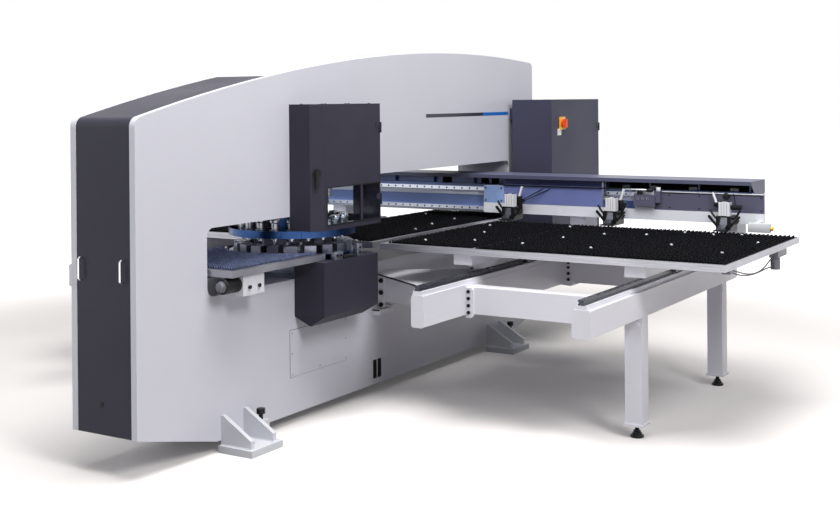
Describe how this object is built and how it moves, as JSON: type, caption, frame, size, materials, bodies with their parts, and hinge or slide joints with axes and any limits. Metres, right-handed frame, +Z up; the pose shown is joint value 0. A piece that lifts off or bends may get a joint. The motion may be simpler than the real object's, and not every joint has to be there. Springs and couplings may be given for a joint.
{
  "type": "cnc turret punch press",
  "caption": "Turret punch press with an arched bridge frame, throat tables with brushes, wing tables on a travelling carriage with workholder clamps, guarded turrets and a control cabinet",
  "frame": {"origin": "on the floor, at the centre of the pattern of the four anchor holes in the frame's feet", "axes": "X across the machine towards the wider wing table, Y from the front end of the frame to the rear, Z up"},
  "size_m": [4.54, 4.5217, 2.0468],
  "materials": {
    "plates": "satin light grey paint",
    "core": "satin light grey paint",
    "dark_paint": "fine textured dark paint",
    "beam_hood": "fine textured dark paint",
    "cabinet_paint": "fine textured dark paint",
    "handles": "polished",
    "feet": "satin light grey paint",
    "bolts": "blackened steel",
    "turret_steel": "ground steel",
    "tool_steel": "ground tool steel",
    "die_steel": "ground steel",
    "ram_steel": "ground steel",
    "window": "clear polycarbonate",
    "latch_metal": "black",
    "aluminium": "anodised extrusion",
    "brushes": "black bristles",
    "white_paint": "satin off-white paint",
    "rails": "ground rail steel",
    "bearings": "blackened steel",
    "beam_paint": "satin grey paint",
    "carriage_metal": "milled plate",
    "carriage_panel": "fine textured dark paint",
    "clamp_black": "blackened steel",
    "clamp_white": "white paint",
    "jaw_steel": "hardened steel",
    "yellow": "yellow",
    "red": "red",
    "sensor": "black bracket",
    "cable": "black jacket"
  },
  "bodies": {
    "frame": {"access_panel": "plates", "cabinet_body": "cabinet_paint", "centre_brushes": "brushes", "cross_beams": "white_paint", "feet_front": "feet", "feet_rear": "feet", "frame_core": "core", "front_cover": "dark_paint", "front_table": "aluminium", "head_cover_left": "dark_paint", "head_cover_right": "dark_paint", "legs": "white_paint", "levelling_bolts": "bolts", "levelling_feet": "bolts", "lower_cover_left": "dark_paint", "lower_cover_right": "dark_paint", "pull_handles": "handles", "rear_cover": "dark_paint", "rear_table": "aluminium", "side_plate_left": "plates", "side_plate_right": "plates", "spindles": "turret_steel", "support_beams_left": "white_paint", "support_beams_right": "white_paint", "table_bracket": "white_paint", "top_cover": "core", "y_rails": "rails"},
    "y_carriage": {"wing_right": "aluminium", "wing_left": "aluminium", "wing_brushes_right": "brushes", "wing_brushes_left": "brushes", "wing_channels": "white_paint", "bearing_blocks": "bearings", "carriage_beam": "beam_paint", "beam_cover": "beam_hood", "x_rails": "rails", "sensor_unit": "sensor", "sensor_cable_1": "cable", "sensor_cable_2": "cable"},
    "x_carriage": {"x_carriage": "carriage_metal", "x_panel": "carriage_panel", "clamp_bodies": "clamp_black", "clamp_cylinders": "clamp_white"},
    "jaw_1": {"clamp_jaw_1": "jaw_steel"},
    "jaw_2": {"clamp_jaw_2": "jaw_steel"},
    "jaw_3": {"clamp_jaw_3": "jaw_steel"},
    "upper_turret": {"upper_turret": "turret_steel", "punch_tools": "tool_steel"},
    "lower_turret": {"lower_turret": "turret_steel", "die_blocks": "die_steel"},
    "ram": {"ram": "ram_steel"},
    "head_door": {"head_door": "dark_paint", "head_window": "window"},
    "head_latch": {"head_latch": "latch_metal"},
    "cabinet_door": {"cabinet_door": "cabinet_paint", "switch_plate": "yellow"},
    "switch_handle": {"switch_handle": "red"}
  },
  "joints": [
    {"name": "y_slide", "type": "slide", "parent": "frame", "child": "y_carriage", "axis": [0, 1, 0], "range_m": [-1.1, 0.17]},
    {"name": "x_slide", "type": "slide", "parent": "y_carriage", "child": "x_carriage", "axis": [1, 0, 0], "range_m": [-2.5, 0]},
    {"name": "jaw_1_hinge", "type": "hinge", "parent": "x_carriage", "child": "jaw_1", "pos_m": [0.54, 1.015, 0.99], "axis": [-1, 0, 0], "range_deg": [0, 10]},
    {"name": "jaw_2_hinge", "type": "hinge", "parent": "x_carriage", "child": "jaw_2", "pos_m": [1.255, 1.015, 0.99], "axis": [-1, 0, 0], "range_deg": [0, 10]},
    {"name": "jaw_3_hinge", "type": "hinge", "parent": "x_carriage", "child": "jaw_3", "pos_m": [1.98, 1.015, 0.99], "axis": [-1, 0, 0], "range_deg": [0, 10]},
    {"name": "upper_turret_spin", "type": "hinge", "parent": "frame", "child": "upper_turret", "pos_m": [0, -0.617, 1.02], "axis": [0, 0, 1], "continuous": true},
    {"name": "lower_turret_spin", "type": "hinge", "parent": "frame", "child": "lower_turret", "pos_m": [0, -0.617, 0.896], "axis": [0, 0, 1], "continuous": true},
    {"name": "ram_slide", "type": "slide", "parent": "frame", "child": "ram", "axis": [0, 0, 1], "range_m": [-0.037, 0]},
    {"name": "head_door_hinge", "type": "hinge", "parent": "frame", "child": "head_door", "pos_m": [0.405, -0.316, 1.38], "axis": [0, 0, 1], "range_deg": [0, 90]},
    {"name": "head_latch_turn", "type": "hinge", "parent": "head_door", "child": "head_latch", "pos_m": [0.37275, -0.88875, 1.357], "axis": [0.7071, -0.7071, 0], "range_deg": [0, 90]},
    {"name": "cabinet_door_hinge", "type": "hinge", "parent": "frame", "child": "cabinet_door", "pos_m": [0.572, 2.424, 1.218], "axis": [0, 0, 1], "range_deg": [0, 110]},
    {"name": "main_switch_turn", "type": "hinge", "parent": "cabinet_door", "child": "switch_handle", "pos_m": [0.5733, 1.774, 1.567], "axis": [1, 0, 0], "range_deg": [0, 90]}
  ],
  "couplings": [
    {"joint": "lower_turret_spin", "follows": "upper_turret_spin", "ratio": 1}
  ]
}
